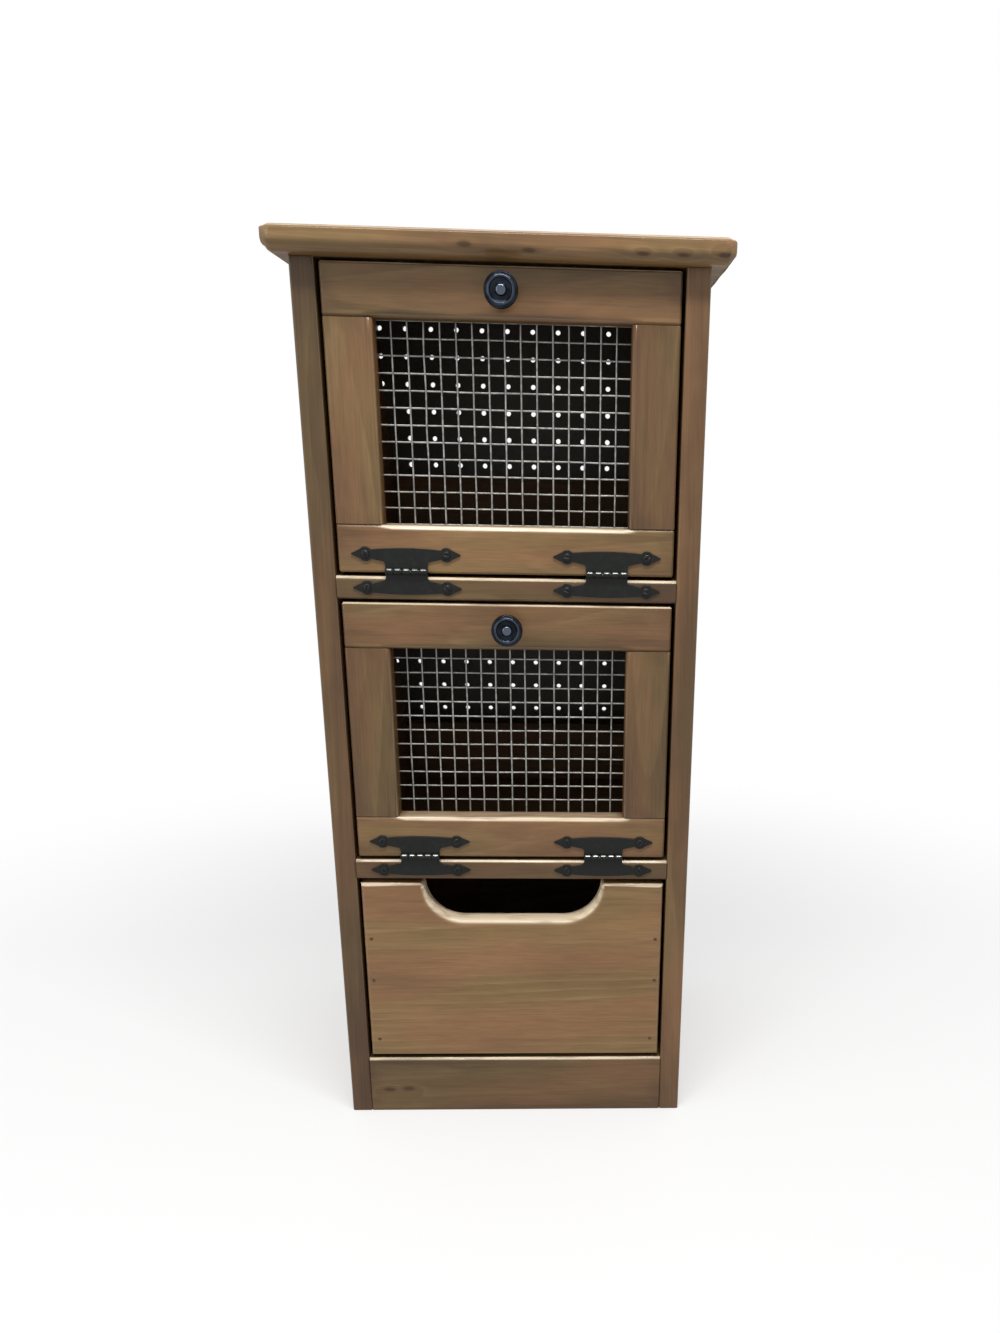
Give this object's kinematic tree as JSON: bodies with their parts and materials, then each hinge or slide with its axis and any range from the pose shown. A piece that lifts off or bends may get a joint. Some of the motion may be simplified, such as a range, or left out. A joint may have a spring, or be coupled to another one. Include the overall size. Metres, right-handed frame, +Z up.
{
  "type": "tilt-out vegetable bin cabinet",
  "caption": "Narrow free-standing pine kitchen cabinet: wire-windowed doors carry bins that tilt forward on surface hinges, over a drawer with a scooped hand grip.",
  "frame": {"origin": "on the floor, in the middle of the whole cabinet's footprint, knobs and top board included", "axes": "+Z up; the doors face -Y; +X is the viewer's right when facing the doors"},
  "size_m": [0.355, 0.314, 0.762],
  "materials": {
    "stained_pine": "medium brown stain under satin varnish",
    "plain_pine": "thinly stained inside, no varnish",
    "hardboard": "smooth brown perforated hardboard",
    "galvanised_wire": "galvanised",
    "black_hinge": "black, softly hammered",
    "dark_knob": "dark blued with a low sheen",
    "plated_screw": "zinc plated"
  },
  "bodies": {
    "cabinet": {"back_panel": "hardboard", "floor_board": "plain_pine", "hinge_case_screws": "black_hinge", "hinge_pins": "black_hinge", "kick_board": "stained_pine", "left_side": "stained_pine", "lower_left_hinge_case_leaf": "black_hinge", "lower_right_hinge_case_leaf": "black_hinge", "lower_shelf": "stained_pine", "right_side": "stained_pine", "top_board": "stained_pine", "upper_left_hinge_case_leaf": "black_hinge", "upper_right_hinge_case_leaf": "black_hinge", "upper_shelf": "stained_pine"},
    "upper_bin": {"upper_bin_back": "plain_pine", "upper_bin_bottom": "plain_pine", "upper_bin_left_side": "plain_pine", "upper_bin_right_side": "plain_pine", "upper_bottom_rail": "stained_pine", "upper_hinge_door_screws": "black_hinge", "upper_knob": "dark_knob", "upper_knob_screw": "plated_screw", "upper_left_hinge_door_leaf": "black_hinge", "upper_left_stile": "stained_pine", "upper_right_hinge_door_leaf": "black_hinge", "upper_right_stile": "stained_pine", "upper_top_rail": "stained_pine", "upper_wire_net": "galvanised_wire"},
    "lower_bin": {"lower_bin_back": "plain_pine", "lower_bin_bottom": "plain_pine", "lower_bin_left_side": "plain_pine", "lower_bin_right_side": "plain_pine", "lower_bottom_rail": "stained_pine", "lower_hinge_door_screws": "black_hinge", "lower_knob": "dark_knob", "lower_knob_screw": "plated_screw", "lower_left_hinge_door_leaf": "black_hinge", "lower_left_stile": "stained_pine", "lower_right_hinge_door_leaf": "black_hinge", "lower_right_stile": "stained_pine", "lower_top_rail": "stained_pine", "lower_wire_net": "galvanised_wire"},
    "drawer": {"drawer_back": "plain_pine", "drawer_bottom": "plain_pine", "drawer_front": "stained_pine", "drawer_left_side": "plain_pine", "drawer_right_side": "plain_pine"}
  },
  "joints": [
    {"name": "upper_bin_tilt", "type": "hinge", "parent": "cabinet", "child": "upper_bin", "pos_m": [0, -0.1377, 0.5145], "axis": [1, 0, 0], "range_deg": [0, 46.9]},
    {"name": "lower_bin_tilt", "type": "hinge", "parent": "cabinet", "child": "lower_bin", "pos_m": [0, -0.1377, 0.266], "axis": [1, 0, 0], "range_deg": [0, 45.5]},
    {"name": "drawer_slide", "type": "slide", "parent": "cabinet", "child": "drawer", "axis": [0, -1, 0], "range_m": [0, 0.22]}
  ]
}
